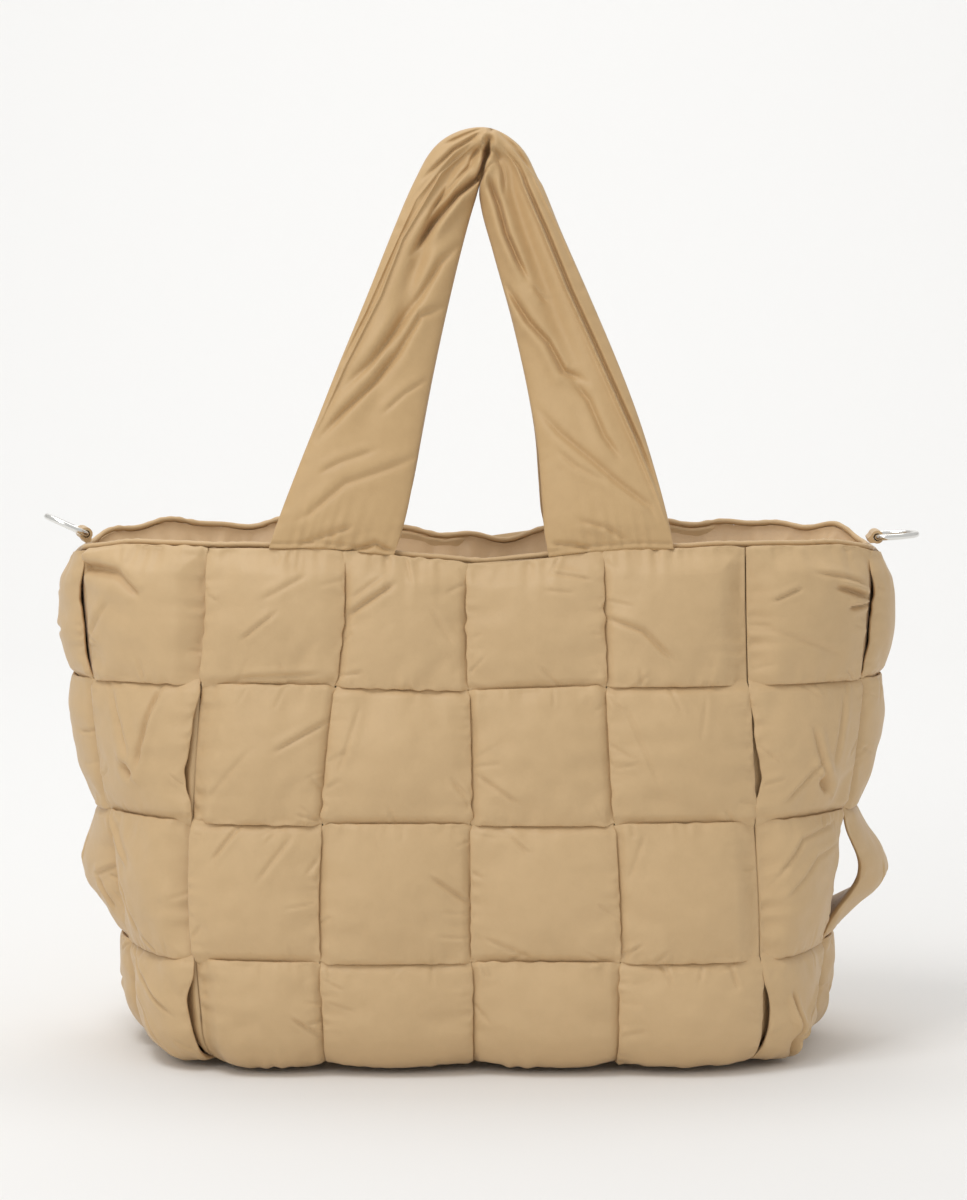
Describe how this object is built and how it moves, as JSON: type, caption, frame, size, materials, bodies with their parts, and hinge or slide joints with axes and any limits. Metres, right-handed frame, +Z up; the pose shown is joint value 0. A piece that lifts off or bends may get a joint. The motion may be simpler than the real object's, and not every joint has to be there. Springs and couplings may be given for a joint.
{
  "type": "quilted handbag",
  "caption": "Open tote handbag woven from padded nylon strips, with soft shoulder handles and a metal D-ring on a cloth tab at each end of the mouth.",
  "frame": {"origin": "on the ground under the middle of the bag", "axes": "+Z up, +X along the mouth towards the right-hand end as the front is seen, the front faces -Y"},
  "size_m": [0.5433, 0.2526, 0.568],
  "materials": {
    "shell_cloth": "smooth nylon with a soft sheen, camel",
    "handle_cloth": "smooth nylon with a soft sheen, camel",
    "lining_cloth": "plain nylon, a shade darker",
    "ring_metal": "polished"
  },
  "bodies": {
    "bag": {"front_upright_1": "shell_cloth", "front_upright_2": "shell_cloth", "front_upright_3": "shell_cloth", "front_upright_4": "shell_cloth", "front_band_1": "shell_cloth", "front_band_2": "shell_cloth", "front_band_3": "shell_cloth", "front_band_4": "shell_cloth", "right_upright_1": "shell_cloth", "right_upright_2": "shell_cloth", "right_upright_3": "shell_cloth", "right_band_1": "shell_cloth", "right_band_2": "shell_cloth", "right_band_3": "shell_cloth", "right_band_4": "shell_cloth", "back_upright_1": "shell_cloth", "back_upright_2": "shell_cloth", "back_upright_3": "shell_cloth", "back_upright_4": "shell_cloth", "back_band_1": "shell_cloth", "back_band_2": "shell_cloth", "back_band_3": "shell_cloth", "back_band_4": "shell_cloth", "left_upright_1": "shell_cloth", "left_upright_2": "shell_cloth", "left_upright_3": "shell_cloth", "left_band_1": "shell_cloth", "left_band_2": "shell_cloth", "left_band_3": "shell_cloth", "left_band_4": "shell_cloth", "lining": "lining_cloth", "rim_hem": "lining_cloth", "base_panel": "shell_cloth", "front_handle": "handle_cloth", "back_handle": "handle_cloth", "right_ring_tab": "shell_cloth", "left_ring_tab": "shell_cloth"},
    "right_ring": {"right_d_ring": "ring_metal"},
    "left_ring": {"left_d_ring": "ring_metal"}
  },
  "joints": [
    {"name": "right_ring_hinge", "type": "hinge", "parent": "bag", "child": "right_ring", "pos_m": [0.24783, 0, 0.31593], "axis": [0, 1, 0], "range_deg": [-75, 10]},
    {"name": "left_ring_hinge", "type": "hinge", "parent": "bag", "child": "left_ring", "pos_m": [-0.24423, 0, 0.31796], "axis": [0.2419, -0.9703, 0], "range_deg": [-55, 25]}
  ]
}
